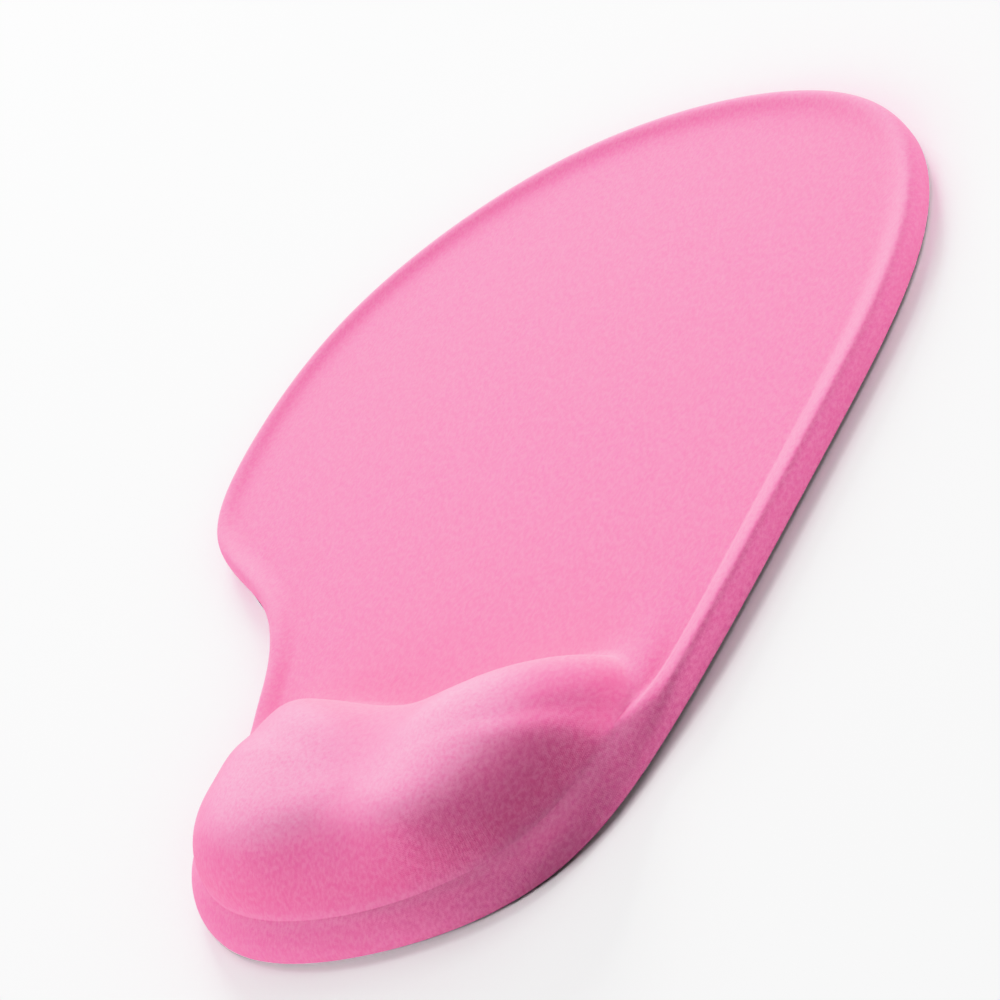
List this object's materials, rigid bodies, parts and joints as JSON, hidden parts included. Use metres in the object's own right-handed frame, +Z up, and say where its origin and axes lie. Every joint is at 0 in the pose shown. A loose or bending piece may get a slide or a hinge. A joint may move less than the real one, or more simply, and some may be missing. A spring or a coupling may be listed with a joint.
{
  "type": "wrist rest",
  "caption": "Contoured mouse pad with a raised, lobed gel wrist rest along its front edge, a soft knitted cover over foam and a non-slip base.",
  "frame": {"origin": "on the desk, under the middle of the pad's width and length", "axes": "+X to the user's right, +Y away from the user across the mouse area, +Z up"},
  "size_m": [0.195, 0.25, 0.022],
  "materials": {
    "cover": "fine smooth knit with a soft sheen",
    "foam": "matt open-cell foam",
    "gel": "clear, slightly tinted soft gel",
    "film": "thin clear film",
    "base": "matt textured non-slip sheet"
  },
  "bodies": {
    "root": {"base_sheet": "base", "foam_pad": "foam", "bladder_bottom_film": "film", "gel_fill": "gel", "bladder_top_film": "film", "cover_fabric": "cover"}
  },
  "joints": []
}
